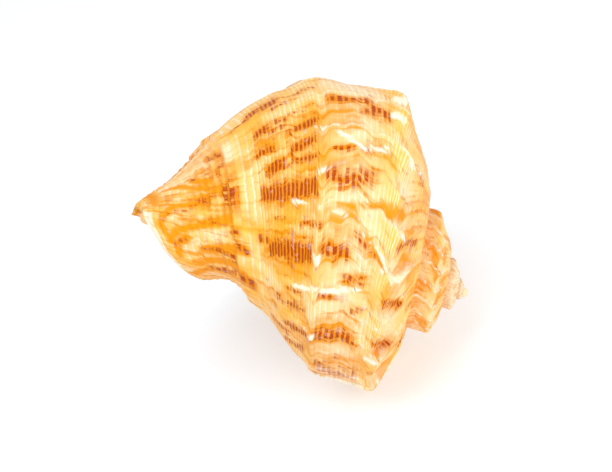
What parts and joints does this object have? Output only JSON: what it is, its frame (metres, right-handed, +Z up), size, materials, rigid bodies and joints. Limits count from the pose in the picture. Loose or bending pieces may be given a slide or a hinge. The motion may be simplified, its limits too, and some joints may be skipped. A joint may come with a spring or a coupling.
{
  "type": "rapana sea snail shell",
  "caption": "Heavy dextral sea snail shell with a broad spined last whorl, low stepped spire, wide hollow mouth and a short open siphonal canal, lying on its lip.",
  "frame": {"origin": "middle of the bounding box at floor level, under the shell as it lies on its lip and its shoulder spines", "axes": "+Z up; the shell's own axis lies in the XZ plane, from the canal end at -X, which is the higher end, down 29 degrees to the apex at +X; the picture looks at the -Y side"},
  "size_m": [0.068, 0.0746, 0.0642],
  "materials": {
    "shell": "natural shell, satin, cream with orange and rust brown dashes"
  },
  "bodies": {
    "root": {"shell": "shell"}
  },
  "joints": []
}
